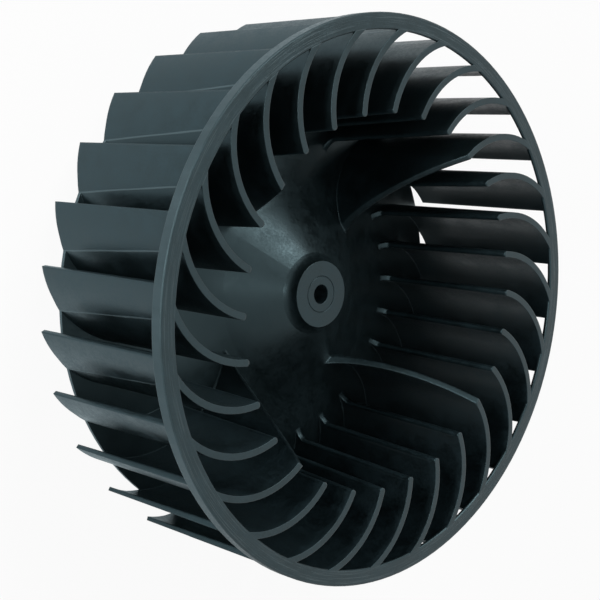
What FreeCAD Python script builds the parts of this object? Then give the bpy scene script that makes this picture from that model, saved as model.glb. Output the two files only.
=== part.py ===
# Blower wheel of a tumble dryer: a squirrel cage of curved blades, moulded in one piece.
# The wheel stands on its back end, on the rim of the back plate and the back ends of the blades.
# Z is the shaft's axis, Z = 0 is the back plane, and the inlet ring is at the top.
# Seen from the inlet, the blades sweep clockwise from their inner edges to their tips.
import FreeCAD, Part
import math
import os
import Sketcher

V = FreeCAD.Vector

# Driving dimensions, in mm and degrees.
SIZES = [
    ("wheel_depth", 67.5, "from the back plane to the face of the inlet ring"),
    ("ring_radius", 100.0, "outside of the inlet ring, the largest radius of the wheel"),
    ("ring_face", 5.75, "width of the ring's flat face"),
    ("ring_skin", 1.2, "thickness of the ring's face"),
    ("ring_wall", 1.6, "thickness of the ring's outer wall"),
    ("ring_height", 4.4, "height of the ring's outer wall"),
    ("ring_break", 0.4, "chamfer along the edges of the ring's face"),
    ("vane_count", 4, "long blades, whose inward part is a vane that runs in to the hub"),
    ("plain_count", 6, "plain blades between two long ones"),
    ("blade_thickness", 2.3, "thickness of blades and vanes"),
    ("blade_inset", 1.6, "from the outside of the ring in to the tips of the blades"),
    ("blade_span", 32.4, "from the tip of a blade to its inner edge at the inlet"),
    ("blade_sweep", 20.06, "angle about the shaft from inner edge to tip"),
    ("blade_arc", 33.4, "radius of a blade's middle line"),
    ("blade_bite", 0.3, "how far plain blades are rooted under the front of the plate"),
    ("edge_rake", 4.0, "angle between the inner edge of a plain blade and the shaft"),
    ("nose_proud", 0.05, "how far the round inner edge stands proud of the blade's sides"),
    ("foot_round", 6.0, "radius of the web from the inner edge of a blade to the plate"),
    ("vane_angle", 28.8, "angle between the front edge of a vane and the shaft"),
    ("vane_inset", 0.5, "how much further in than the plain blades a vane's edge starts"),
    ("vane_turn", 60.5, "angle of the vane's arc, from the inner edge to its end in the plate"),
    ("vane_bite", 0.5, "how far vanes are rooted under the front of the plate"),
    ("rim_inset", 2.75, "from the ring's inner edge in to the rim of the back plate"),
    ("rim_edge", 1.3, "height of the rim's upright edge"),
    ("plate_wall", 1.5, "thickness of the back plate and its cone"),
    ("plate_slope", 12.0, "slope of the outer part of the plate"),
    ("cone_slope", 33.5, "slope of the cone that carries the hub"),
    ("flare_arc", 48.0, "radius of the flare's section"),
    ("hub_depth", 34.0, "from the ring's face down to the hub's face"),
    ("hub_radius", 12.3, "radius of the hub's face"),
    ("hub_foot", 15.1, "radius at which the hub stands on the cone"),
    ("hub_height", 4.284, "from the foot of the hub up to its face"),
    ("hub_blend", 8.0, "radius of the section of the hub's side"),
    ("boss_radius", 9.0, "radius of the plain boss behind the hub"),
    ("boss_clearance", 9.0, "from the back plane up to the boss"),
    ("bore_diameter", 7.0, "bore for the motor shaft"),
    ("bore_chamfer", 0.15, "chamfer at both ends of the bore"),
    ("witness_diameter", 13.4, "fine line round the bore on the hub's face"),
    ("witness_size", 0.25, "width and depth of that line"),
    ("overcut", 2.0, "how far cutting profiles pass the solid, so that they leave no skin"),
]

# Dimensions that follow from the driving ones.
FORMULAS = [
    ("blade_count", "vane_count * (plain_count + 1)", "all blades"),
    ("blade_pitch", "360 / blade_count", "angle from one blade to the next"),
    ("tip_radius", "ring_radius - blade_inset", "tips of the blades"),
    ("edge_radius", "tip_radius - blade_span", "inner edges at the inlet"),
    ("outside_arc", "blade_arc + blade_thickness / 2", "convex side of a blade"),
    ("inside_arc", "blade_arc - blade_thickness / 2", "hollow side of a blade"),
    ("mouth_radius", "ring_radius - ring_face", "inner edge of the ring"),
    ("wall_radius", "ring_radius - ring_wall", "inside of the ring's outer wall"),
    ("skin_level", "wheel_depth - ring_skin", "underside of the ring's face"),
    ("wall_level", "wheel_depth - ring_height", "lower end of the ring's outer wall"),
    ("rim_radius", "mouth_radius - rim_inset", "rim of the back plate"),
    ("plate_angle", "180 - plate_slope", "direction of the plate, from the rim inwards"),
    ("plate_fall", "-plate_slope", "direction of the plate, outwards"),
    ("cone_angle", "180 - cone_slope", "direction of the cone, from the flare inwards"),
    ("hub_level", "wheel_depth - hub_depth", "face of the hub"),
    ("hub_base", "hub_level - hub_height", "foot of the hub"),
    ("corner_radius", "(hub_base + hub_foot * tan(cone_slope) - rim_edge"
     " - rim_radius * tan(plate_slope)) / (tan(cone_slope) - tan(plate_slope))",
     "where the plate's slope would meet the cone without the flare"),
    ("flare_start", "corner_radius + flare_arc * tan((cone_slope - plate_slope) / 2)"
     " * cos(plate_slope)", "where the plate starts to flare up to the cone"),
    ("flare_height", "rim_edge + (rim_radius - flare_start) * tan(plate_slope)", "start of flare"),
    ("flare_centre", "flare_start + flare_arc * sin(plate_slope)", "flare's centre from the shaft"),
    ("flare_level", "flare_height + flare_arc * cos(plate_slope)", "flare's centre, upwards"),
    ("under_arc", "flare_arc + plate_wall", "hollow side of the flare"),
    ("edge_angle", "90 - edge_rake", "direction of a plain blade's inner edge"),
    ("nose_radius", "blade_thickness / 2 + nose_proud", "round inner edge of a plain blade"),
    ("nose_top", "edge_radius + nose_radius", "middle of the round edge at the inlet"),
    ("plate_radius", "edge_radius - wheel_depth * tan(edge_rake)", "about where it meets the plate"),
    ("nose_base", "flare_height - (plate_radius - flare_start) * tan(plate_slope) - plate_wall / 2",
     "where the round edge starts, inside the plate"),
    ("nose_foot", "nose_top - (wheel_depth - nose_base) * tan(edge_rake)", "its middle down there"),
    ("blade_reach", "plate_radius - foot_round", "inner end of a plain blade's foot"),
    ("blade_root", "rim_radius - plate_wall / 2", "outer end of the plain blades' roots"),
    ("vane_edge", "edge_radius - vane_inset", "front edge of a vane at the inlet"),
    ("front_angle", "90 - vane_angle", "direction of a vane's front edge"),
    ("vane_root", "blade_root - vane_bite", "outer end of the long blades' roots"),
    ("vane_root_arc", "flare_arc + vane_bite", "roots of the vanes in the flare"),
    ("bore_radius", "bore_diameter / 2", "bore"),
    ("witness_radius", "witness_diameter / 2 - witness_size / 2", "inner side of the fine line"),
    ("witness_level", "hub_level - witness_size", "bottom of the fine line"),
    ("cut_top", "wheel_depth + overcut", "top of the cutting profiles"),
    ("cut_inside", "blade_reach - overcut", "inner side of the plain blades' cutting profile"),
]

doc = FreeCAD.newDocument("blower_wheel")
sheet = doc.addObject("Spreadsheet::Sheet", "Sizes")
for row, (alias, value, note) in enumerate(SIZES + FORMULAS, start=1):
    sheet.set("A%d" % row, note)
    sheet.set("B%d" % row, "=" + value if isinstance(value, str) else str(value))
    sheet.setAlias("B%d" % row, alias)
doc.recompute()

body = doc.addObject("PartDesign::Body", "blower_wheel")
body.Label = "blower_wheel"


def size(alias):
    return float(sheet.get(alias))


def new_sketch(name, role, level=None, turned=False):
    # Sketch on one of the body's origin planes, raised to a level and turned by a blade pitch.
    sketch = body.newObject("Sketcher::SketchObject", name)
    plane = [o for o in body.Origin.OriginFeatures if o.Role == role][0]
    sketch.AttachmentSupport = [(plane, "")]
    sketch.MapMode = "FlatFace"
    if level:
        sketch.setExpression(".AttachmentOffset.Base.z", "Sizes." + level)
    if turned:
        upright = V(0, 0, 1) if role == "XY_Plane" else V(0, 1, 0)
        turn = FreeCAD.Rotation(upright, size("blade_pitch"))
        sketch.AttachmentOffset = FreeCAD.Placement(V(0, 0, 0), turn)
        sketch.setExpression(".AttachmentOffset.Rotation.Angle", "Sizes.blade_pitch")
    return sketch


def relate(sketch, *constraint):
    return sketch.addConstraint(Sketcher.Constraint(*constraint))


def dimension(sketch, alias, *constraint):
    # Adds a dimension that takes its value from the sheet.
    value = size(alias)
    if constraint[0] == "Angle":
        value = math.radians(value)
    index = relate(sketch, *constraint, value)
    name = "%s_%d" % (alias, index)
    sketch.renameConstraint(index, name)
    sketch.setExpression("Constraints." + name, "Sizes." + alias)


def line(sketch, start, end, construction=False):
    segment = Part.LineSegment(V(start[0], start[1], 0), V(end[0], end[1], 0))
    return sketch.addGeometry(segment, construction)


def arc(sketch, centre, radius, first, last, construction=False):
    # Arc counter-clockwise between two points, given by their bearings from the centre.
    circle = Part.Circle(V(centre[0], centre[1], 0), V(0, 0, 1), radius)
    return sketch.addGeometry(Part.ArcOfCircle(circle, first, last), construction)


def bearing(centre, point):
    return math.atan2(point[1] - centre[1], point[0] - centre[0])


def at(centre, radius, angle):
    return (centre[0] + radius * math.cos(angle), centre[1] + radius * math.sin(angle))


def profile(sketch, corners):
    # Closed outline of lines and arcs. Each corner is its point, how the outline passes through it
    # ("Coincident" for a sharp corner, "Tangent" for a smooth one) and, when the side that
    # follows is an arc, the centre of that arc. Each side is its index and its end vertices.
    sides = []
    for index, (start, _, centre) in enumerate(corners):
        end = corners[(index + 1) % len(corners)][0]
        if centre is None:
            sides.append((line(sketch, start, end), 1, 2))
            continue
        first, last = bearing(centre, start), bearing(centre, end)
        turn = (last - first + math.pi) % (2 * math.pi) - math.pi
        radius = math.dist(centre, start)
        if turn > 0:
            sides.append((arc(sketch, centre, radius, first, first + turn), 1, 2))
        else:
            sides.append((arc(sketch, centre, radius, last, last - turn), 2, 1))
    for index, (_, joint, _) in enumerate(corners):
        previous, current = sides[index - 1], sides[index]
        relate(sketch, joint, previous[0], previous[2], current[0], current[1])
    return [side[0] for side in sides]


def from_shaft(sketch, alias, geometry, vertex):
    dimension(sketch, alias, "DistanceX", -1, 1, geometry, vertex)


def from_back(sketch, alias, geometry, vertex):
    dimension(sketch, alias, "DistanceY", -1, 1, geometry, vertex)


def placed_arc(sketch, geometry, radius_alias):
    # An arc about the centre of the flare.
    from_shaft(sketch, "flare_centre", geometry, 3)
    from_back(sketch, "flare_level", geometry, 3)
    dimension(sketch, radius_alias, "Radius", geometry)


def solid_feature(kind, name, sketch, **settings):
    # Pad, Pocket, Revolution or Groove; a cut that removes nothing shows no error, so it is tested.
    before = body.Shape.Volume if body.Tip else 0
    feature = body.newObject("PartDesign::" + kind, name)
    feature.Profile = sketch
    if kind in ("Revolution", "Groove"):
        feature.ReferenceAxis = (sketch, ["V_Axis"])
        feature.Angle = 360
    for setting, value in settings.items():
        setattr(feature, setting, value)
    doc.recompute()
    if kind in ("Groove", "Pocket") and body.Shape.Volume > before - 0.01:
        raise RuntimeError(name + " removed nothing")
    return feature


def edges_where(test):
    # Names of the body's edges whose middle points pass a test.
    names = []
    for index, edge in enumerate(body.Shape.Edges, start=1):
        point = edge.valueAt((edge.FirstParameter + edge.LastParameter) / 2)
        if test(edge, point):
            names.append("Edge%d" % index)
    return names


def bound(feature, setting, alias):
    # Takes a feature's setting from the sheet.
    feature.setExpression(setting, "Sizes." + alias)
    doc.recompute()
    return feature


def chamfered(name, alias, edges):
    # Chamfer of named edges.
    base = (body.Tip, edges)
    feature = body.newObject("PartDesign::Chamfer", name)
    feature.Base = base
    feature.setExpression("Size", "Sizes." + alias)
    body.Tip = feature
    doc.recompute()


def patterned(name, count, originals, pitch=None):
    # Polar pattern about the shaft, of the whole solid when no features are named.
    feature = body.newObject("PartDesign::PolarPattern", name)
    feature.Originals = originals
    feature.Axis = ([o for o in body.Origin.OriginFeatures if o.Role == "Z_Axis"][0], [""])
    feature.TransformMode = "Features" if originals else "Whole shape"
    feature.setExpression("Occurrences", "Sizes." + count)
    if pitch:
        feature.Mode = "Spacing"
        feature.setExpression("Offset", "Sizes." + pitch)
    body.Tip = feature
    doc.recompute()
    return feature


# Middle line of a blade: its inner edge is on the X axis, its tip is swept round clockwise.
sweep = math.radians(size("blade_sweep"))
edge_point = (size("edge_radius"), 0)
tip_point = at((0, 0), size("tip_radius"), -sweep)
chord = math.dist(edge_point, tip_point)
across = bearing(edge_point, tip_point) - math.acos(chord / 2 / size("blade_arc"))
arc_centre = at(edge_point, size("blade_arc"), across)


def on_middle_line(radius):
    # Point of the middle line at a distance from the shaft, at or inside the inner edge.
    reach = math.hypot(*arc_centre)
    cosine = (radius ** 2 + reach ** 2 - size("blade_arc") ** 2) / (2 * radius * reach)
    return at((0, 0), radius, bearing((0, 0), arc_centre) + math.acos(cosine))


def middle_line(sketch):
    # The middle line of a blade, for construction.
    middle = arc(sketch, arc_centre, size("blade_arc"), bearing(arc_centre, tip_point),
                 bearing(arc_centre, edge_point), True)
    dimension(sketch, "blade_arc", "Radius", middle)
    to_tip = line(sketch, (0, 0), tip_point, True)
    to_edge = line(sketch, (0, 0), edge_point, True)
    for spoke, vertex, alias in ((to_tip, 1, "tip_radius"), (to_edge, 2, "edge_radius")):
        relate(sketch, "Coincident", spoke, 1, -1, 1)
        relate(sketch, "Coincident", spoke, 2, middle, vertex)
        dimension(sketch, alias, "Distance", spoke)
    relate(sketch, "Horizontal", to_edge)
    dimension(sketch, "blade_sweep", "Angle", to_tip, 1, to_edge, 1)
    return middle


def inner_end(sketch, middle, reach):
    # Point of the middle line where a plain blade's foot ends, at a distance from the shaft.
    spoke = line(sketch, (0, 0), on_middle_line(size(reach)), True)
    relate(sketch, "Coincident", spoke, 1, -1, 1)
    relate(sketch, "PointOnObject", spoke, 2, middle)
    dimension(sketch, reach, "Distance", spoke)
    return spoke


def vane_end(sketch, middle, turn):
    # Point of the middle line where a vane ends, by its angle about the centre of the arc.
    start = bearing(arc_centre, edge_point)
    end = at(arc_centre, size("blade_arc"), start + math.radians(size(turn)))
    to_edge = line(sketch, arc_centre, edge_point, True)
    to_end = line(sketch, arc_centre, end, True)
    relate(sketch, "Coincident", to_edge, 2, middle, 2)
    for spoke in (to_edge, to_end):
        relate(sketch, "Coincident", spoke, 1, middle, 3)
    relate(sketch, "PointOnObject", to_end, 2, middle)
    dimension(sketch, turn, "Angle", to_edge, 1, to_end, 1)
    return to_end


def blade_outline(name, end_point, alias, turned):
    # Strip of the blade's thickness along the middle line, from its inner end out to the tip.
    sketch = new_sketch(name, "XY_Plane", turned=turned)
    middle = middle_line(sketch)
    end = end_point(sketch, middle, alias)
    reach = sketch.getPoint(end, 2)
    first, last = bearing(arc_centre, tip_point), bearing(arc_centre, reach)
    sides = []
    for radius in ("outside_arc", "inside_arc"):
        side = arc(sketch, arc_centre, size(radius), first, last)
        relate(sketch, "Coincident", side, 3, middle, 3)
        dimension(sketch, radius, "Radius", side)
        sides.append(side)
    for vertex, angle, anchor in ((1, first, (middle, 1)), (2, last, (end, 2))):
        closing = line(sketch, at(arc_centre, size("outside_arc"), angle),
                       at(arc_centre, size("inside_arc"), angle))
        relate(sketch, "Coincident", closing, 1, sides[0], vertex)
        relate(sketch, "Coincident", closing, 2, sides[1], vertex)
        relate(sketch, "PointOnObject", middle, 3, closing)
        relate(sketch, "PointOnObject", *anchor, closing)
    doc.recompute()
    return sketch


def circle_sketch(name, alias, **placing):
    # Circle about the origin of its sketch.
    sketch = new_sketch(name, "XY_Plane", **placing)
    circle = sketch.addGeometry(Part.Circle(V(0, 0, 0), V(0, 0, 1), size(alias)), False)
    relate(sketch, "Coincident", circle, 3, -1, 1)
    dimension(sketch, alias, "Radius", circle)
    doc.recompute()
    return sketch


def nose_axis():
    # Ends of the middle of a plain blade's round inner edge: inside the plate, and at the inlet.
    turn = FreeCAD.Rotation(V(0, 0, 1), size("blade_pitch"))
    low = on_middle_line(size("nose_foot")) + (size("nose_base"),)
    high = on_middle_line(size("nose_top")) + (size("wheel_depth"),)
    return turn.multVec(V(*low)), turn.multVec(V(*high))


# The plate's section, on its front surface or under it by a depth.
slope = math.radians(size("plate_slope"))
cone_slope = math.radians(size("cone_slope"))
flare_middle = (size("flare_centre"), size("flare_level"))


def flare_point(angle, depth):
    # Point of the flare with a given slope.
    return at(flare_middle, size("flare_arc") + depth, -math.pi / 2 - angle)


def straight_point(radius, angle, depth):
    # Point at a distance from the shaft on the straight slope or cone that the flare runs into.
    start = flare_point(angle, depth)
    return (radius, start[1] - (radius - start[0]) * math.tan(angle))


def fixed_point(sketch, radius, level):
    # Construction point in a section, at a distance from the shaft and from the back plane.
    point = sketch.addGeometry(Part.Point(V(size(radius), size(level), 0)), True)
    from_shaft(sketch, radius, point, 1)
    from_back(sketch, level, point, 1)
    return point


def rooted_slope(sketch, side, bite, angle):
    # A straight side of the section, parallel to the front of the plate and under it by a bite.
    dimension(sketch, angle, "Angle", side)
    rim = fixed_point(sketch, "rim_radius", "rim_edge")
    dimension(sketch, bite, "Distance", rim, 1, side)


def edge_cut():
    # Cuts a plain blade back to the middle of its round edge, and leaves a web at its foot.
    sketch = new_sketch("edge_cut", "XZ_Plane", turned=True)
    foot = size("foot_round")
    rake = math.tan(math.radians(size("edge_rake")))
    edge_foot = (size("nose_foot"), size("nose_base") + foot)
    foot_centre = (edge_foot[0] - foot, edge_foot[1])
    top, inside = size("cut_top"), size("cut_inside")
    sides = profile(sketch, [
        (edge_foot, "Tangent", None),
        ((size("nose_top") + size("overcut") * rake, top), "Coincident", None),
        ((inside, top), "Coincident", None),
        (straight_point(inside, slope, size("blade_bite")), "Coincident", None),
        (straight_point(foot_centre[0], slope, size("blade_bite")), "Tangent", foot_centre),
    ])
    edge, top_side, inner_side, slope_side, foot_arc = sides
    relate(sketch, "Horizontal", top_side)
    relate(sketch, "Vertical", inner_side)
    from_back(sketch, "cut_top", top_side, 1)
    from_shaft(sketch, "cut_inside", inner_side, 1)
    rooted_slope(sketch, slope_side, "blade_bite", "plate_fall")
    dimension(sketch, "foot_round", "Radius", foot_arc)
    dimension(sketch, "edge_angle", "Angle", edge)
    relate(sketch, "PointOnObject", fixed_point(sketch, "nose_top", "wheel_depth"), 1, edge)
    doc.recompute()
    return sketch


def root_cut():
    # Cuts a plain blade off inside the plate.
    sketch = new_sketch("root_cut", "YZ_Plane")
    bite, inside, bottom = size("blade_bite"), size("cut_inside"), -size("overcut")
    root_end = straight_point(size("blade_root"), slope, bite)
    sides = profile(sketch, [
        ((inside, bottom), "Coincident", None),
        ((root_end[0], bottom), "Coincident", None),
        (root_end, "Coincident", None),
        (straight_point(inside, slope, bite), "Coincident", None),
    ])
    bottom_side, end_side, slope_side, inner_side = sides
    relate(sketch, "Horizontal", bottom_side)
    relate(sketch, "Vertical", inner_side)
    relate(sketch, "Vertical", end_side)
    dimension(sketch, "overcut", "DistanceY", bottom_side, 1, -1, 1)
    from_shaft(sketch, "cut_inside", inner_side, 1)
    from_shaft(sketch, "blade_root", end_side, 1)
    rooted_slope(sketch, slope_side, "blade_bite", "plate_angle")
    doc.recompute()
    return sketch


def front_cut():
    # Cuts the vanes' front edges to a cone.
    sketch = new_sketch("front_cut", "YZ_Plane")
    top, bottom = size("cut_top"), -size("overcut")
    fall = math.tan(math.radians(size("vane_angle")))
    high = size("vane_edge") + size("overcut") * fall
    sides = profile(sketch, [
        ((0, top), "Coincident", None),
        ((0, bottom), "Coincident", None),
        ((high - (top - bottom) * fall, bottom), "Coincident", None),
        ((high, top), "Coincident", None),
    ])
    axis_side, bottom_side, front, top_side = sides
    for side in (top_side, bottom_side):
        relate(sketch, "Horizontal", side)
    relate(sketch, "PointOnObject", axis_side, 1, -2)
    relate(sketch, "PointOnObject", axis_side, 2, -2)
    from_back(sketch, "cut_top", top_side, 1)
    dimension(sketch, "overcut", "DistanceY", bottom_side, 1, -1, 1)
    dimension(sketch, "front_angle", "Angle", front)
    relate(sketch, "PointOnObject", fixed_point(sketch, "vane_edge", "wheel_depth"), 1, front)
    doc.recompute()
    return sketch


def vane_root_cut():
    # Cuts the vanes off inside the plate, along its slope, flare and cone.
    sketch = new_sketch("vane_root_cut", "YZ_Plane")
    bite, bottom = size("vane_bite"), -size("overcut")
    root_end = straight_point(size("vane_root"), slope, bite)
    sides = profile(sketch, [
        ((0, bottom), "Coincident", None),
        ((root_end[0], bottom), "Coincident", None),
        (root_end, "Coincident", None),
        (flare_point(slope, bite), "Tangent", flare_middle),
        (flare_point(cone_slope, bite), "Tangent", None),
        (straight_point(0, cone_slope, bite), "Coincident", None),
    ])
    bottom_side, end_side, slope_side, flare, cone_side, axis_side = sides
    relate(sketch, "Horizontal", bottom_side)
    relate(sketch, "Vertical", end_side)
    relate(sketch, "PointOnObject", axis_side, 1, -2)
    relate(sketch, "PointOnObject", axis_side, 2, -2)
    dimension(sketch, "overcut", "DistanceY", bottom_side, 1, -1, 1)
    from_shaft(sketch, "vane_root", end_side, 1)
    dimension(sketch, "plate_angle", "Angle", slope_side)
    dimension(sketch, "cone_angle", "Angle", cone_side)
    placed_arc(sketch, flare, "vane_root_arc")
    doc.recompute()
    return sketch


def plate_section():
    # Back plate, flare, cone, hub and the boss behind it, as one section from shaft to rim.
    sketch = new_sketch("plate_section", "XZ_Plane")
    wall, hub, rim = size("plate_wall"), size("hub_foot"), size("rim_radius")
    foot = (hub, size("hub_base"))
    face_edge = (size("hub_radius"), size("hub_level"))
    half = math.dist(foot, face_edge) / 2
    blend = at(face_edge, size("hub_blend"),
               bearing(face_edge, foot) + math.acos(half / size("hub_blend")))
    under_rim = straight_point(rim, slope, wall)
    under_rim = (rim + under_rim[1] / math.tan(slope), 0)
    boss, clearance = size("boss_radius"), size("boss_clearance")
    sides = profile(sketch, [
        ((0, size("hub_level")), "Coincident", None),
        (face_edge, "Coincident", blend),
        (foot, "Coincident", None),
        (flare_point(cone_slope, 0), "Tangent", flare_middle),
        (flare_point(slope, 0), "Tangent", None),
        (straight_point(rim, slope, 0), "Coincident", None),
        ((rim, 0), "Coincident", None),
        (under_rim, "Coincident", None),
        (flare_point(slope, wall), "Tangent", flare_middle),
        (flare_point(cone_slope, wall), "Tangent", None),
        (straight_point(boss, cone_slope, wall), "Coincident", None),
        ((boss, clearance), "Coincident", None),
        ((0, clearance), "Coincident", None),
    ])
    (face, hub_side, cone, flare, fall, rim_side, base, under_fall, under_flare,
     under_cone, boss_side, boss_end, axis_side) = sides
    for level in (face, base, boss_end):
        relate(sketch, "Horizontal", level)
    for upright in (rim_side, boss_side):
        relate(sketch, "Vertical", upright)
    relate(sketch, "PointOnObject", face, 1, -2)
    relate(sketch, "PointOnObject", boss_end, 2, -2)
    relate(sketch, "PointOnObject", base, 1, -1)
    relate(sketch, "Parallel", fall, under_fall)
    relate(sketch, "Parallel", cone, under_cone)
    dimension(sketch, "plate_angle", "Angle", under_fall)
    dimension(sketch, "cone_angle", "Angle", under_cone)
    placed_arc(sketch, flare, "flare_arc")
    placed_arc(sketch, under_flare, "under_arc")
    from_back(sketch, "hub_level", face, 1)
    from_shaft(sketch, "hub_radius", face, 2)
    dimension(sketch, "hub_blend", "Radius", hub_side)
    from_shaft(sketch, "hub_foot", cone, 1)
    from_shaft(sketch, "rim_radius", rim_side, 1)
    from_shaft(sketch, "boss_radius", boss_side, 1)
    from_back(sketch, "boss_clearance", boss_end, 1)
    doc.recompute()
    return sketch


def ring_section():
    # Inlet ring: a flat face with chamfered edges, and a short wall round its outside.
    sketch = new_sketch("ring_section", "XZ_Plane")
    inner, wall, outer = size("mouth_radius"), size("wall_radius"), size("ring_radius")
    face, skin, end = size("wheel_depth"), size("skin_level"), size("wall_level")
    edge = size("ring_break")
    corners = [(inner, face - edge), (inner + edge, face), (outer - edge, face), (outer, face - edge),
               (outer, end), (wall, end), (wall, skin), (inner, skin)]
    sides = profile(sketch, [(corner, "Coincident", None) for corner in corners])
    inner_edge, top, outer_edge, outside, wall_end, inside, underside, mouth = sides
    for side, level in ((top, "wheel_depth"), (wall_end, "wall_level"), (underside, "skin_level")):
        relate(sketch, "Horizontal", side)
        from_back(sketch, level, side, 1)
    for side, radius in ((outside, "ring_radius"), (inside, "wall_radius"), (mouth, "mouth_radius")):
        relate(sketch, "Vertical", side)
        from_shaft(sketch, radius, side, 1)
    dimension(sketch, "ring_break", "DistanceX", inner_edge, 1, inner_edge, 2)
    dimension(sketch, "ring_break", "DistanceY", inner_edge, 1, inner_edge, 2)
    dimension(sketch, "ring_break", "DistanceX", outer_edge, 1, outer_edge, 2)
    dimension(sketch, "ring_break", "DistanceY", outer_edge, 2, outer_edge, 1)
    doc.recompute()
    return sketch


def witness_section():
    # Small square that makes the fine line round the bore.
    sketch = new_sketch("witness_section", "XZ_Plane")
    low, high = size("witness_level"), size("hub_level")
    near = size("witness_radius")
    far = near + size("witness_size")
    corners = [(near, low), (far, low), (far, high), (near, high)]
    sides = profile(sketch, [(corner, "Coincident", None) for corner in corners])
    for index, direction in enumerate(("Horizontal", "Vertical") * 2):
        relate(sketch, direction, sides[index])
    from_shaft(sketch, "witness_radius", sides[0], 1)
    from_back(sketch, "witness_level", sides[0], 1)
    dimension(sketch, "witness_size", "DistanceX", sides[0], 1, sides[0], 2)
    dimension(sketch, "witness_size", "DistanceY", sides[1], 1, sides[1], 2)
    doc.recompute()
    return sketch


# Plain blades: one is built beside the first long blade, then repeated.
outline = blade_outline("plain_outline", inner_end, "blade_reach", True)
bound(solid_feature("Pad", "plain_blade", outline), "Length", "wheel_depth")
solid_feature("Pocket", "edge_trim", edge_cut(), Midplane=True,
              Length=3 * size("blade_thickness"))
solid_feature("Groove", "root_trim", root_cut())
low, high = nose_axis()
nose_circle = circle_sketch("nose_circle", "nose_radius")
nose_circle.AttachmentOffset = FreeCAD.Placement(low, FreeCAD.Rotation(V(0, 0, 1), high - low))
doc.recompute()
solid_feature("Pad", "nose", nose_circle, Length=(high - low).Length + size("nose_radius"))
inlet = circle_sketch("inlet_plane", "ring_radius", level="wheel_depth")
solid_feature("Pocket", "nose_end", inlet, Reversed=True, Length=size("overcut"))
patterned("plain_group", "plain_count", [], "blade_pitch")
patterned("plain_blades", "vane_count", [])

# Long blades, each with its vane.
outline = blade_outline("long_outline", vane_end, "vane_turn", False)
long_blade = bound(solid_feature("Pad", "long_blade", outline), "Length", "wheel_depth")
patterned("long_blades", "vane_count", [long_blade])
solid_feature("Groove", "front_trim", front_cut())
solid_feature("Groove", "vane_root_trim", vane_root_cut())

# Plate with its hub, inlet ring, and bore.
solid_feature("Revolution", "plate", plate_section())
solid_feature("Revolution", "ring", ring_section())
bore = circle_sketch("bore_circle", "bore_radius")
solid_feature("Pocket", "bore", bore, Type="ThroughAll", Midplane=True)
solid_feature("Groove", "witness_line", witness_section())
bore_ends = edges_where(lambda edge, point: math.hypot(point.x, point.y) < size("bore_radius") + 0.01
                        and edge.BoundBox.ZLength < 0.01)
chamfered("bore_chamfers", "bore_chamfer", bore_ends)

# The finished solid is written only when every feature and the solid itself are sound.
for item in doc.Objects:
    if "Invalid" in item.State or "Error" in item.State:
        raise RuntimeError(item.Label + " is not sound")
if body.Shape.isNull() or not body.Shape.isValid() or len(body.Shape.Solids) != 1:
    raise RuntimeError("the wheel is not one sound solid")
os.makedirs("parts", exist_ok=True)
body.Shape.exportStep("parts/blower_wheel.step")
print("blower_wheel: %.1f cm3" % (body.Shape.Volume / 1000))
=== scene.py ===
# %% [markdown]
# # Blower wheel of a tumble dryer
#
# The real thing is a squirrel-cage fan wheel, moulded in one piece from black polypropylene:
# curved blades between an inlet ring and a back plate, with a cone in the middle that carries
# the hub. The CAD model already has its shapes, so this lesson is about its surface, its light
# and the camera.
#
# Everything is in metres, with Z along the shaft and the wheel standing on its back end at Z =
# 0.

# %% The CAD model as the frame
import bpy
import bmesh
import math
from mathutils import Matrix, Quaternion, Vector

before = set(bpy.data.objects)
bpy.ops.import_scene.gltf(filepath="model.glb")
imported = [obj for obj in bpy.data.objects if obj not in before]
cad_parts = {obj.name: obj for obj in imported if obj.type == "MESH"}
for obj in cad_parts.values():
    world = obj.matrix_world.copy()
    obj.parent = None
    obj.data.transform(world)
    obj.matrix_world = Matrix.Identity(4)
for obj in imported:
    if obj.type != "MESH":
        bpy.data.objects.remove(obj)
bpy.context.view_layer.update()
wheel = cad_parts["blower_wheel"]
MM = 0.001
print("wheel: %d faces" % len(wheel.data.polygons))


# %% [markdown]
# ## Camera
#
# The photograph shows the wheel standing on its edge, seen from the inlet side, a little from
# above. The model stands on its back end instead, so the camera comes down to it from above and
# is rolled on its side until the picture is the same. A long lens of about 80 mm gives the weak
# perspective of the photograph. Its place came from fitting the ring, the blades and the hub.

# %% Camera
CAMERA_PLACE = Vector((299.3, 168.9, 380.1)) * MM
CAMERA_AIM = Vector((7.84, 8.03, 34.0)) * MM
CAMERA_ROLL = 98.31
# The lens and the width of the film in mm, as Blender takes them.
LENS = 79.5
FILM_WIDTH = 36

camera_data = bpy.data.cameras.new("camera")
camera_data.lens = LENS
camera_data.sensor_width = FILM_WIDTH
camera = bpy.data.objects.new("camera", camera_data)
bpy.context.scene.collection.objects.link(camera)
camera.location = CAMERA_PLACE
level = (CAMERA_AIM - CAMERA_PLACE).to_track_quat("-Z", "Y")
roll = Quaternion((0, 0, 1), math.radians(CAMERA_ROLL))
camera.rotation_euler = (level @ roll).to_euler()
bpy.context.scene.camera = camera
print("camera %.0f mm from the hub" % ((CAMERA_AIM - CAMERA_PLACE).length / MM))


# %% [markdown]
# ## Tools for materials
#
# Two small functions do the work that every material needs. One turns a colour as it is written
# in paint programs (sRGB hex) into the linear values that the renderer counts with. The other
# adds a node, sets its values and links its inputs. An input is given by its name, or by its
# number: i0 is the first one. Many nodes have several inputs of the same name.

# %% Colour and node helpers
def linear(code):
    channels = [int(code[i:i + 2], 16) / 255 for i in (1, 3, 5)]
    return [c / 12.92 if c < 0.04045 else ((c + 0.055) / 1.055) ** 2.4 for c in channels] + [1]


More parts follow.
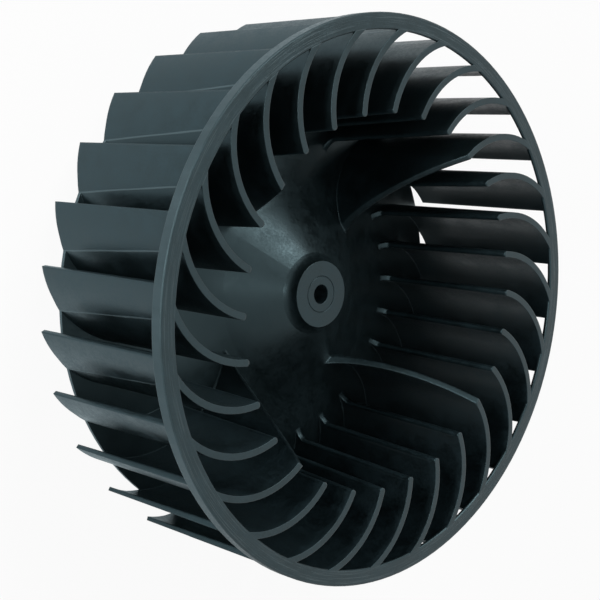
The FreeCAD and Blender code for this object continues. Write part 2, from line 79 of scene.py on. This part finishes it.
def add_node(tree, kind, settings=None, **inputs):
    node = tree.nodes.new(kind if "Node" in kind else "ShaderNode" + kind)
    for name, value in (settings or {}).items():
        setattr(node, name, value)
    for name, value in inputs.items():
        key = int(name[1:]) if name[1:].isdigit() else name.replace("_", " ")
        socket = node.inputs[key]
        if isinstance(value, bpy.types.NodeSocket):
            tree.links.new(value, socket)
        else:
            socket.default_value = value
    return node


print("as written #808080, as rendered %.3f" % linear("#808080")[0])


# %% [markdown]
# ## Draft of the blades
#
# Outside the back plate the blades are moulded from behind, so they have draft: at the ring they
# are as thick as in the CAD model, 2.3 mm, and at the back only 1.4 mm. The CAD model has straight
# walls there. Its mesh isn't touched, but a Geometry Nodes modifier may move its points: each one
# goes towards the middle arc of its blade, more the nearer it is to the back.
#
# All blades are copies of one, turned round the shaft. So the nodes first work out which blade a
# point belongs to, from its bearing, and turn the centre of the first blade's arc by as much. That
# centre follows from the inner edge at 66 mm from the shaft, the tip at 98.4 mm from it and 20.06
# degrees clockwise of the edge, and the radius of the arc.

# %% Which blade a point belongs to
BLADES = 28
BLADE_PITCH = 2 * math.pi / BLADES
ARC_CENTRE = (59.05 * MM, -32.67 * MM, 0)
# The outer part of the first blade lies about this far behind the X axis.
FIRST_LAG = math.radians(15.85)

draft = bpy.data.node_groups.new("draft_of_the_blades", "GeometryNodeTree")
draft.interface.new_socket("Geometry", in_out="INPUT", socket_type="NodeSocketGeometry")
draft.interface.new_socket("Geometry", in_out="OUTPUT", socket_type="NodeSocketGeometry")
solid = add_node(draft, "NodeGroupInput").outputs[0]
point = add_node(draft, "GeometryNodeInputPosition").outputs[0]
flat = add_node(draft, "VectorMath", {"operation": "MULTIPLY"}, i0=point, i1=(1, 1, 0)).outputs[0]
axes = add_node(draft, "SeparateXYZ", Vector=point).outputs
bearing = add_node(draft, "Math", {"operation": "ARCTAN2"}, i0=axes["Y"], i1=axes["X"]).outputs[0]
count = add_node(draft, "Math", {"operation": "MULTIPLY_ADD"}, i0=bearing, i1=1 / BLADE_PITCH,
                 i2=FIRST_LAG / BLADE_PITCH).outputs[0]
blade = add_node(draft, "Math", {"operation": "ROUND"}, i0=count).outputs[0]
turn = add_node(draft, "Math", {"operation": "MULTIPLY"}, i0=blade, i1=BLADE_PITCH).outputs[0]
centre = add_node(draft, "VectorRotate", {"rotation_type": "Z_AXIS"}, Vector=ARC_CENTRE, Angle=turn)
print("blade pitch %.2f degrees" % math.degrees(BLADE_PITCH))

# %% [markdown]
# A point's distance from its arc's centre, less the radius of the middle arc, says on which side of
# the blade it lies and how far out. Divided by half the wall this is 1 on the convex side and -1
# on the hollow one. Only points outside the rim of the back plate move, and none at the ring.

# %% How far each point moves
ARC_RADIUS = 33.4 * MM
HALF_WALL = 1.15 * MM
THINNER = 0.45 * MM
RIM_RADIUS = 91.6 * MM
DRAFT_RADIUS = 94.5 * MM
RING_BOTTOM = 63 * MM

arm = add_node(draft, "VectorMath", {"operation": "SUBTRACT"}, i0=flat, i1=centre.outputs[0]).outputs[0]
length = add_node(draft, "VectorMath", {"operation": "LENGTH"}, i0=arm).outputs["Value"]
side = add_node(draft, "Math", {"operation": "MULTIPLY_ADD"}, i0=length, i1=1 / HALF_WALL,
                i2=-ARC_RADIUS / HALF_WALL).outputs[0]
from_axis = add_node(draft, "VectorMath", {"operation": "LENGTH"}, i0=flat).outputs["Value"]
outer = add_node(draft, "MapRange", i0=from_axis, i1=RIM_RADIUS, i2=DRAFT_RADIUS).outputs[0]
inwards = add_node(draft, "MapRange", i0=axes["Z"], i1=0, i2=RING_BOTTOM, i3=-THINNER, i4=0).outputs[0]
share = add_node(draft, "Math", {"operation": "MULTIPLY"}, i0=outer, i1=inwards).outputs[0]
step = add_node(draft, "Math", {"operation": "MULTIPLY"}, i0=share, i1=side).outputs[0]
print("wall at the back %.1f mm" % (2 * (HALF_WALL - THINNER) / MM))

# %% [markdown]
# The step is taken along the line from the arc's centre to the point, which is square to the
# blade. Set Position moves the points, and the modifier puts it all on the wheel.

# %% The modifier
unit = add_node(draft, "VectorMath", {"operation": "NORMALIZE"}, i0=arm).outputs[0]
shift = add_node(draft, "VectorMath", {"operation": "SCALE"}, i0=unit, Scale=step).outputs[0]
moved = add_node(draft, "GeometryNodeSetPosition", Geometry=solid, Offset=shift).outputs[0]
add_node(draft, "NodeGroupOutput", i0=moved)
wheel.modifiers.new("draft", "NODES").node_group = draft
print("nodes in the draft: %d" % len(draft.nodes))


# %% [markdown]
# ## Moulded polypropylene
#
# The wheel is black polypropylene filled with talc, injection moulded in a plain steel mould.
# To the eye that is a dark, slightly blue-green grey with a satin surface. All patterns on it
# read the Object coordinates, and because the wheel is round, a few nodes first turn these into
# the distance from the shaft, the direction round it and the height.

# %% Coordinates of a round part
plastic = bpy.data.materials.new("moulded_polypropylene")
plastic.use_nodes = True
tree = plastic.node_tree
tree.nodes.clear()
PER_MM = 1 / MM
texture = add_node(tree, "TexCoord").outputs
place = texture["Object"]
height = add_node(tree, "SeparateXYZ", Vector=place).outputs["Z"]
level = add_node(tree, "VectorMath", {"operation": "MULTIPLY"}, i0=place, i1=(1, 1, 0)).outputs[0]
from_shaft = add_node(tree, "VectorMath", {"operation": "LENGTH"}, i0=level).outputs["Value"]
direction = add_node(tree, "VectorMath", {"operation": "NORMALIZE"}, i0=level).outputs[0]
print("nodes for the coordinates: %d" % len(tree.nodes))

# %% [markdown]
# Talc near the skin makes the satin a little cloudy, so a soft noise with spots of about 7 mm
# moves the roughness and the tone, and a finer one of 0.9 mm breaks up the highlights. The grain of
# the skin itself is about 0.1 mm in reality. It is drawn at 0.8 mm, or the render would lose it.

# %% Cloudy talc and grain
CLOUD_SIZE = 7
FLECK_SIZE = 0.9
GRAIN_SIZE = 0.8
# From LOW to HIGH the noise turns the satin dull, and from LOW to PALE_AT the tone gets paler.
LOW = 0.3
HIGH = 0.7
PALE_AT = 0.75
SATIN = 0.28
DULL = 0.44
# A noise is about 0.5 on average, so that much is taken off where two are added.
AVERAGE = 0.5
cloud = add_node(tree, "TexNoise", Vector=place, Scale=PER_MM / CLOUD_SIZE, Detail=4,
                 Roughness=0.6).outputs[0]
fleck = add_node(tree, "TexNoise", Vector=place, Scale=PER_MM / FLECK_SIZE, Detail=2,
                 Roughness=0.6).outputs[0]
grain = add_node(tree, "TexNoise", Vector=place, Scale=PER_MM / GRAIN_SIZE, Detail=3,
                 Roughness=0.6).outputs[0]
blend = add_node(tree, "Math", {"operation": "SUBTRACT"}, i0=fleck, i1=AVERAGE).outputs[0]
mottle = add_node(tree, "Math", {"operation": "ADD"}, i0=cloud, i1=blend).outputs[0]
tone = add_node(tree, "ValToRGB", Fac=mottle)
tone.color_ramp.elements[0].position = LOW
tone.color_ramp.elements[0].color = linear("#0c1315")
tone.color_ramp.elements[1].position = PALE_AT
tone.color_ramp.elements[1].color = linear("#172226")
rough = add_node(tree, "MapRange", i0=mottle, i1=LOW, i2=HIGH, i3=SATIN, i4=DULL).outputs[0]
print("patterns of %s mm" % [CLOUD_SIZE, FLECK_SIZE, GRAIN_SIZE])

# %% [markdown]
# The ring's face has rubbed against things, and carries fine light scratches that run round it.
# A noise that is stretched along the direction round the shaft gives them: it changes every
# 0.3 mm across the ring, but only every 24 mm or so along it. The ring's outer wall is what the
# wheel lies and rolls on, so it is rubbed paler all over, and that paler wall is also a painted
# sheen for the bright highlight along it.

# %% Scratches on the ring's face, and the wall's wear and painted sheen
FACE_LEVEL = 67.4 * MM
RING_INSIDE = 94.2 * MM
RING_OUTSIDE = 99.7 * MM
SCRATCH_WIDTH = 0.3
# Only where the noise is this high is there a scratch, so most of the face stays clean.
SCRATCH_FROM = 0.54
SCRATCH_FULL = 0.66
# The ring's face is about 97 mm from the shaft, and 97 / 4 is about 24 mm.
SCRATCH_PER_RADIUS = 4
along = add_node(tree, "VectorMath", {"operation": "SCALE"}, i0=direction,
                 Scale=SCRATCH_PER_RADIUS).outputs[0]
across = add_node(tree, "Math", {"operation": "MULTIPLY"}, i0=from_shaft,
                  i1=PER_MM / SCRATCH_WIDTH).outputs[0]
rise = add_node(tree, "CombineXYZ", Z=across).outputs[0]
streak_place = add_node(tree, "VectorMath", {"operation": "ADD"}, i0=along, i1=rise).outputs[0]
streak = add_node(tree, "TexNoise", Vector=streak_place, Scale=1, Detail=4, Roughness=0.7).outputs[0]
worn = add_node(tree, "MapRange", i0=streak, i1=SCRATCH_FROM, i2=SCRATCH_FULL).outputs[0]
on_top = add_node(tree, "Math", {"operation": "GREATER_THAN"}, i0=height, i1=FACE_LEVEL).outputs[0]
on_ring = add_node(tree, "Math", {"operation": "GREATER_THAN"}, i0=from_shaft,
                   i1=RING_INSIDE).outputs[0]
on_face = add_node(tree, "Math", {"operation": "MULTIPLY"}, i0=on_top, i1=on_ring).outputs[0]
scratches_and_wall_sheen = add_node(tree, "Math", {"operation": "MULTIPLY"}, i0=worn, i1=on_face).outputs[0]

# Painted sheen and wear: the ring's outer wall is drawn paler all over.
SHEEN_AND_RUB_FROM = 0.25
SHEEN_AND_RUB_FULL = 0.75
WALL_WEAR_AND_SHEEN = 0.7
rub_and_sheen = add_node(tree, "MapRange", i0=streak, i1=SHEEN_AND_RUB_FROM, i2=SHEEN_AND_RUB_FULL, i4=WALL_WEAR_AND_SHEEN).outputs[0]
on_wall = add_node(tree, "Math", {"operation": "GREATER_THAN"}, i0=from_shaft,
                   i1=RING_OUTSIDE).outputs[0]
wall_wear_and_sheen = add_node(tree, "Math", {"operation": "MULTIPLY"}, i0=rub_and_sheen, i1=on_wall).outputs[0]
scratches_and_wall_sheen = add_node(tree, "Math", {"operation": "MAXIMUM"}, i0=scratches_and_wall_sheen, i1=wall_wear_and_sheen).outputs[0]
print("scratches from %.1f mm out" % (RING_INSIDE / MM))

# %% [markdown]
# The two halves of the mould meet in a line across the convex side of every blade, from the rim
# of the back plate up to the inner edge of the ring. It leaves a fine ridge, and the highlight that
# the ridge catches is painted in as a paler line. The ridge is where the distance from the shaft
# equals that of the mould's slope, and the object's normal tells the convex side, which looks
# outwards, from the hollow one. Inside the line the convex side is painted darker, as painted
# shade for the gaps between the blades.

# %% Parting line of the mould
PART_RADIUS = 91.44 * MM
PART_SLOPE = 0.0423
LINE_CORE = 0.08 * MM
LINE_EDGE = 0.22 * MM
CONVEX = 0.2
mould = add_node(tree, "Math", {"operation": "MULTIPLY_ADD"}, i0=height, i1=PART_SLOPE, i2=PART_RADIUS)
apart = add_node(tree, "Math", {"operation": "SUBTRACT"}, i0=from_shaft, i1=mould.outputs[0])
gap = add_node(tree, "Math", {"operation": "ABSOLUTE"}, i0=apart.outputs[0]).outputs[0]
line = add_node(tree, "MapRange", i0=gap, i1=LINE_CORE, i2=LINE_EDGE, i3=1, i4=0).outputs[0]
facing = add_node(tree, "VectorMath", {"operation": "DOT_PRODUCT"}, i0=texture["Normal"], i1=direction)
outward = add_node(tree, "Math", {"operation": "GREATER_THAN"}, i0=facing.outputs["Value"], i1=CONVEX)
# The seam is drawn paler further down, as a painted highlight on the ridge.
seam = add_node(tree, "Math", {"operation": "MULTIPLY"}, i0=line, i1=outward.outputs[0]).outputs[0]
# Painted shade: the convex side inside the parting line, in the gaps between the blades, is drawn darker.
inner = add_node(tree, "Math", {"operation": "LESS_THAN"}, i0=apart.outputs[0], i1=0).outputs[0]
gap_shade_mask = add_node(tree, "Math", {"operation": "MULTIPLY"}, i0=inner, i1=outward.outputs[0]).outputs[0]
print("parting line %.2f mm wide" % (2 * LINE_EDGE / MM))

# %% [markdown]
# No moulded edge is truly sharp, and each catches a thin bright line. A Bevel modifier would
# round them, but the CAD mesh is loose triangles, so the Bevel node does it in the shading. The
# inner edges of the vanes, the webs at the feet of the blades and the tips below the ring are
# fully round, which takes about half the wall of 2.3 mm. All others are broken by a few tenths.

# %% Rounded edges
HUB_CLEAR = 30 * MM
INNER_EDGES = 66.5 * MM
TIPS = 96.4 * MM
TIPS_TOP = 62.5 * MM
BROKEN_EDGE = 0.4 * MM
ROUND_EDGE = 1.1 * MM
inside = add_node(tree, "Math", {"operation": "GREATER_THAN"}, i0=from_shaft, i1=HUB_CLEAR).outputs[0]
within = add_node(tree, "Math", {"operation": "LESS_THAN"}, i0=from_shaft, i1=INNER_EDGES).outputs[0]
middle = add_node(tree, "Math", {"operation": "MULTIPLY"}, i0=inside, i1=within).outputs[0]
outside = add_node(tree, "Math", {"operation": "GREATER_THAN"}, i0=from_shaft, i1=TIPS).outputs[0]
below = add_node(tree, "Math", {"operation": "LESS_THAN"}, i0=height, i1=TIPS_TOP).outputs[0]
at_tip = add_node(tree, "Math", {"operation": "MULTIPLY"}, i0=outside, i1=below).outputs[0]
full = add_node(tree, "Math", {"operation": "MAXIMUM"}, i0=middle, i1=at_tip).outputs[0]
radius = add_node(tree, "MapRange", i0=full, i3=BROKEN_EDGE, i4=ROUND_EDGE).outputs[0]
rounded = add_node(tree, "Bevel", {"samples": 8}, Radius=radius).outputs["Normal"]
print("edges rounded by %.1f or %.1f mm" % (BROKEN_EDGE / MM, ROUND_EDGE / MM))

# %% [markdown]
# Now all comes together in one Principled shader. Grain, scratches and the parting line stand
# out a few hundredths of a millimetre. Scratches are paler than the fresh skin, as they are on
# any dark plastic. The same paler colour also paints the parting line's highlight and part of the
# ring wall's sheen, and a darker one paints the shade between the blades. The IOR of
# polypropylene is 1.49, and the talc in it raises that a little. The tint gives the cool sheen that
# the photograph has.

# %% The finished material
GRAIN_RELIEF = 0.03 * MM
MARK_RELIEF = 0.06 * MM
DARKER = 0.6
PALER = 0.45
skin = add_node(tree, "Bump", Height=grain, Strength=0.3, Distance=GRAIN_RELIEF, Normal=rounded)
marks_and_highlights = add_node(tree, "Math", {"operation": "MAXIMUM"}, i0=scratches_and_wall_sheen, i1=seam).outputs[0]
relief = add_node(tree, "Bump", Height=marks_and_highlights, Strength=0.6, Distance=MARK_RELIEF,
                  Normal=skin.outputs[0])
# Painted shade darkens the convex sides between the blades.
shade = add_node(tree, "Math", {"operation": "MULTIPLY"}, i0=gap_shade_mask, i1=DARKER).outputs[0]
tone_with_gap_shade = add_node(tree, "Mix", {"data_type": "RGBA"}, i0=shade, i6=tone.outputs[0], i7=linear("#0a1011"))
# Scratches are paler as wear. The parting line and the ring wall are paler as painted highlight and
# sheen.
light = add_node(tree, "Math", {"operation": "MULTIPLY"}, i0=marks_and_highlights, i1=PALER).outputs[0]
worn_and_highlit = add_node(tree, "Mix", {"data_type": "RGBA"}, i0=light, i6=tone_with_gap_shade.outputs[2], i7=linear("#566468"))
shader = add_node(tree, "BsdfPrincipled", Base_Color=worn_and_highlit.outputs[2], Roughness=rough,
                  Normal=relief.outputs[0], IOR=1.53, Specular_Tint=linear("#c6eef8"))
add_node(tree, "OutputMaterial", Surface=shader.outputs["BSDF"])
for slot in wheel.material_slots:
    slot.material = plastic
print("nodes in the plastic: %d" % len(tree.nodes))


# %% [markdown]
# ## Floor, backdrop and lamps
#
# The photograph is a cut-out on white. A large white floor under the wheel and a white world do
# the same here. Both are white only for the camera, and for what mirrors or shines through, so
# their white doesn't bleach the plastic's own colour, and the floor still takes a soft shadow.

# %% Floor
FLOOR_HALF = 6
FLOOR_GAP = 0.1 * MM
floor_mesh = bpy.data.meshes.new("floor")
plan = bmesh.new()
bmesh.ops.create_grid(plan, x_segments=1, y_segments=1, size=FLOOR_HALF)
plan.to_mesh(floor_mesh)
plan.free()
floor = bpy.data.objects.new("floor", floor_mesh)
bpy.context.scene.collection.objects.link(floor)
floor.location.z = -FLOOR_GAP
print("floor %d m wide" % (2 * FLOOR_HALF))

# %% [markdown]
# The blades are upright, so from the camera they mirror the floor beside the wheel. In the
# photograph those on one side mirror bright paper, and those on the other a dark room. So what
# the floor shows to mirrors fades out towards the far side, and is a little cooler than white.
# A small part of the paper stays plain, and that part takes the shadow.

# %% White paper of the floor
LIT_SIDE = (0.94, 0.34, 0)
FADE_FROM = -60 * MM
FADE_TO = 80 * MM
FAR_SIDE = 0.06
GLOWING = 0.93
white = bpy.data.materials.new("white_paper")
white.use_nodes = True
tree = white.node_tree
tree.nodes.clear()
path = add_node(tree, "LightPath").outputs
mirrored = add_node(tree, "Math", {"operation": "MAXIMUM"}, i0=path["Is Glossy Ray"],
                    i1=path["Is Transmission Ray"])
spot = add_node(tree, "TexCoord").outputs["Object"]
lit_side = add_node(tree, "VectorMath", {"operation": "DOT_PRODUCT"}, i0=spot, i1=LIT_SIDE)
fade = add_node(tree, "MapRange", i0=lit_side.outputs["Value"], i1=FADE_FROM, i2=FADE_TO,
                i3=FAR_SIDE, i4=1)
weaker = add_node(tree, "Math", {"operation": "MULTIPLY"}, i0=mirrored.outputs[0], i1=fade.outputs[0])
seen = add_node(tree, "Math", {"operation": "MAXIMUM"}, i0=path["Is Camera Ray"], i1=weaker.outputs[0])
paper = add_node(tree, "BsdfDiffuse", Color=linear("#f2f2f2"))
tint = add_node(tree, "Mix", {"data_type": "RGBA"}, i0=path["Is Camera Ray"], i6=linear("#e0f4fb"),
                i7=linear("#ffffff"))
glow = add_node(tree, "Emission", Color=tint.outputs[2], Strength=1.0)
lift = add_node(tree, "Math", {"operation": "MULTIPLY"}, i0=seen.outputs[0], i1=GLOWING)
mix = add_node(tree, "MixShader", Fac=lift.outputs[0], i1=paper.outputs[0], i2=glow.outputs[0])
add_node(tree, "OutputMaterial", Surface=mix.outputs[0])
floor_mesh.materials.append(white)
print("nodes in the paper: %d" % len(tree.nodes))

# %% [markdown]
# The world does two things. As a light it is weak and even, and only lifts the darkest places.
# For the camera and in mirrors it is the plain white of a light tent.

# %% World
EVEN_LIGHT = 0.2
world = bpy.data.worlds.new("studio")
bpy.context.scene.world = world
world.use_nodes = True
tree = world.node_tree
tree.nodes.clear()
path = add_node(tree, "LightPath").outputs
seen = add_node(tree, "Math", {"operation": "MAXIMUM"}, i0=path["Is Camera Ray"],
                i1=path["Is Glossy Ray"])
seen = add_node(tree, "Math", {"operation": "MAXIMUM"}, i0=seen.outputs[0],
                i1=path["Is Transmission Ray"])
dim = add_node(tree, "Background", Color=linear("#ffffff"), Strength=EVEN_LIGHT)
bright = add_node(tree, "Background", Color=linear("#ffffff"), Strength=1.0)
mix = add_node(tree, "MixShader", Fac=seen.outputs[0], i1=dim.outputs[0], i2=bright.outputs[0])
add_node(tree, "OutputWorld", Surface=mix.outputs[0])
print("nodes in the world: %d" % len(tree.nodes))

# %% [markdown]
# Four white softboxes stand round the wheel. The key makes the bright stripe on the cone. The
# low one at the side brings out the edges of the ring and of the blades, the small one beside
# the camera the webs at the blades' feet, and the one high up at the back the ring's face. Each
# is placed by its bearing, its height angle and its distance from the middle of the wheel. Its
# width, its height and its power in watts come last.

# %% Lamps
WHEEL_MIDDLE = Vector((0, 0, 34)) * MM


def softbox(name, azimuth, elevation, distance, width, height, power):
    data = bpy.data.lights.new(name, "AREA")
    data.shape = "RECTANGLE"
    data.size, data.size_y = width, height
    data.energy = power
    lamp = bpy.data.objects.new(name, data)
    bpy.context.scene.collection.objects.link(lamp)
    a, e = math.radians(azimuth), math.radians(elevation)
    towards = Vector((math.cos(a) * math.cos(e), math.sin(a) * math.cos(e), math.sin(e)))
    lamp.location = WHEEL_MIDDLE + towards * distance
    lamp.rotation_euler = (-towards).to_track_quat("-Z", "Y").to_euler()


softbox("key", -67, 45, 1.3, 0.6, 0.6, 8)
softbox("side", 20, 8, 1.0, 0.9, 0.3, 8)
softbox("front", 30, 52, 1.2, 0.22, 0.22, 1.6)
softbox("top", -135, 66, 1.0, 0.5, 0.3, 0.3)

# %% [markdown]
# ## Last step
#
# The view transform is plain Standard, so that white stays white.

# %% Colour management
bpy.context.scene.view_settings.view_transform = "Standard"
